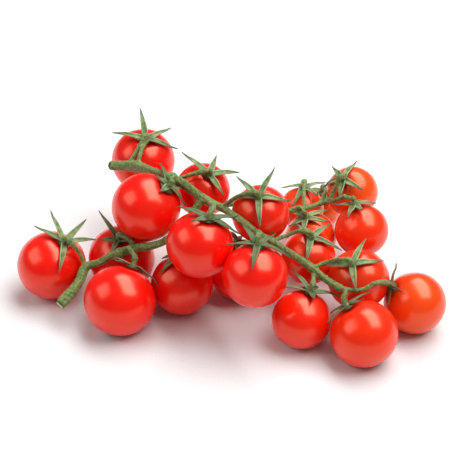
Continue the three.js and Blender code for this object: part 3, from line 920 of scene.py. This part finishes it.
    @classmethod
    def cut_faces(cls):
        """Pith and torn rind on both cut ends: a disc that sags by the square of the
        distance from its middle, its rim uneven by two sines of the angle."""
        pith = cut_pith()
        for name, points in (("main", MAIN_LINE), ("arm", ARM_LINE)):
            line = np.array(cls.route(points[:2], CUT_RADIUS))
            out = unit(line[0] - line[1])
            turn = turn_to(out)
            rows, columns = 6, 28
            ring = np.linspace(0.04, 1, rows)[:, None]
            angle = np.arange(columns)[None] / columns * 2 * math.pi
            torn = 0.05 * np.sin(3 * angle + 1) + 0.04 * np.sin(7 * angle)
            reach = CUT_RADIUS * ring * (1 + torn * ring)
            disc = np.stack(np.broadcast_arrays(
                reach * np.cos(angle), reach * np.sin(angle),
                0.15 * ring ** 2 - 0.85 + 3 * torn * ring ** 3), -1).reshape(-1, 3)
            faces = grid_faces(rows, columns, True).tolist()
            faces.append(list(range(columns))[::-1])
            values = {"ring": np.repeat(ring.ravel(), columns)}
            piece = make_mesh("cut_end_" + name, line[0] + disc @ turn.T, faces, values)
            thick = piece.modifiers.new("Pith depth", "SOLIDIFY")
            thick.thickness = CUT_DEPTH
            dress(piece, pith, "stem")


class TRUSS_OT_stage(bpy.types.Operator):
    """Builds the table, the lights and the camera"""
    bl_idname = "truss.stage"
    bl_label = "Studio"

    def execute(self, context):
        settings = context.scene.truss_stage
        scene = context.scene
        self.table()
        for softbox in SOFTBOXES:
            self.light(*softbox, settings)
        world = bpy.data.worlds.new("White room")
        world.use_nodes = True
        back = world.node_tree.nodes["Background"]
        back.inputs["Color"].default_value = (1, 1, 1, 1)
        back.inputs["Strength"].default_value = settings.world
        scene.world = world
        scene.view_settings.view_transform = "Standard"
        self.camera(scene, settings)
        return {"FINISHED"}

    @staticmethod
    def table():
        """A plain white sheet: a level grid that is far larger than the truss."""
        rows = columns = 9
        reach = np.linspace(-TABLE_HALF_SIDE, TABLE_HALF_SIDE, rows)
        x, y = np.meshgrid(reach, reach)
        points = np.stack([x.ravel(), y.ravel(), np.full(x.size, -TABLE_DROP)], 1)
        sheet = make_mesh("table_paper", points, grid_faces(rows, columns, False), smooth=False)
        sheet.data.materials.append(table_paper())

    @staticmethod
    def light(name, direction, distance, sides, power, settings):
        """A softbox that faces the truss from a direction: level side and other side."""
        data = bpy.data.lights.new(name, "AREA")
        data.shape = "RECTANGLE"
        data.size, data.size_y = sides
        data.energy = power
        lamp = bpy.data.objects.new(name, data)
        bpy.context.scene.collection.objects.link(lamp)
        out = unit(direction)
        lamp.location = out * distance + np.array([0, 0, settings.aim_height])
        lamp.rotation_euler = TRUSS_OT_stage.facing(out)

    @staticmethod
    def facing(out):
        """Euler angles that point an object's -Z against a direction."""
        tilt = math.acos(float(out[2]))
        heading = math.atan2(float(out[1]), float(out[0])) + math.pi / 2
        return (tilt, 0.0, heading)

    @staticmethod
    def camera(scene, settings):
        """The camera looks at the truss from the front, with a lens that shows one
        millimetre at the truss as wide as PIXELS_PER_MM."""
        data = bpy.data.cameras.new("Camera")
        eye = bpy.data.objects.new("Camera", data)
        scene.collection.objects.link(eye)
        e = settings.elevation
        out = np.array([0, -math.cos(e), math.sin(e)])
        aim = np.array([SHIFT[0] * MM, SHIFT[1] * MM, settings.aim_height])
        eye.location = aim + out * settings.distance
        eye.rotation_euler = TRUSS_OT_stage.facing(out)
        data.sensor_width = SENSOR_WIDTH
        data.lens = PIXELS_PER_MM * settings.distance / MM / PICTURE_WIDTH * SENSOR_WIDTH
        data.clip_end = 50.0
        scene.camera = eye


class TRUSS_PT_panel(bpy.types.Panel):
    """Lists the pieces of the truss"""
    bl_idname = "TRUSS_PT_panel"
    bl_label = "Truss of Tomatoes"
    bl_space_type = "VIEW_3D"
    bl_region_type = "UI"
    bl_category = "Truss"

    def draw(self, context):
        for operator in OPERATORS:
            self.layout.operator(operator.bl_idname)
        for group in ("truss_fruit", "truss_green", "truss_stage"):
            settings = getattr(context.scene, group)
            for key in settings.__annotations__:
                self.layout.prop(settings, key)


OPERATORS = (TRUSS_OT_fruits, TRUSS_OT_calyxes, TRUSS_OT_stem, TRUSS_OT_stage)
CLASSES = (TrussFruitSettings, TrussGreenSettings, TrussStageSettings) + OPERATORS
CLASSES = CLASSES + (TRUSS_PT_panel,)


def register():
    """Registers the classes and hangs the settings on the scene."""
    for cls in CLASSES:
        bpy.utils.register_class(cls)
    bpy.types.Scene.truss_fruit = bpy.props.PointerProperty(type=TrussFruitSettings)
    bpy.types.Scene.truss_green = bpy.props.PointerProperty(type=TrussGreenSettings)
    bpy.types.Scene.truss_stage = bpy.props.PointerProperty(type=TrussStageSettings)


def unregister():
    """Takes the settings off the scene and the classes out again."""
    del bpy.types.Scene.truss_stage
    del bpy.types.Scene.truss_green
    del bpy.types.Scene.truss_fruit
    for cls in reversed(CLASSES):
        bpy.utils.unregister_class(cls)


def main():
    """Builds the pieces in order."""
    register()
    bpy.ops.truss.fruits()
    bpy.ops.truss.calyxes()
    bpy.ops.truss.stem()
    bpy.ops.truss.stage()


if __name__ == "__main__":
    main()
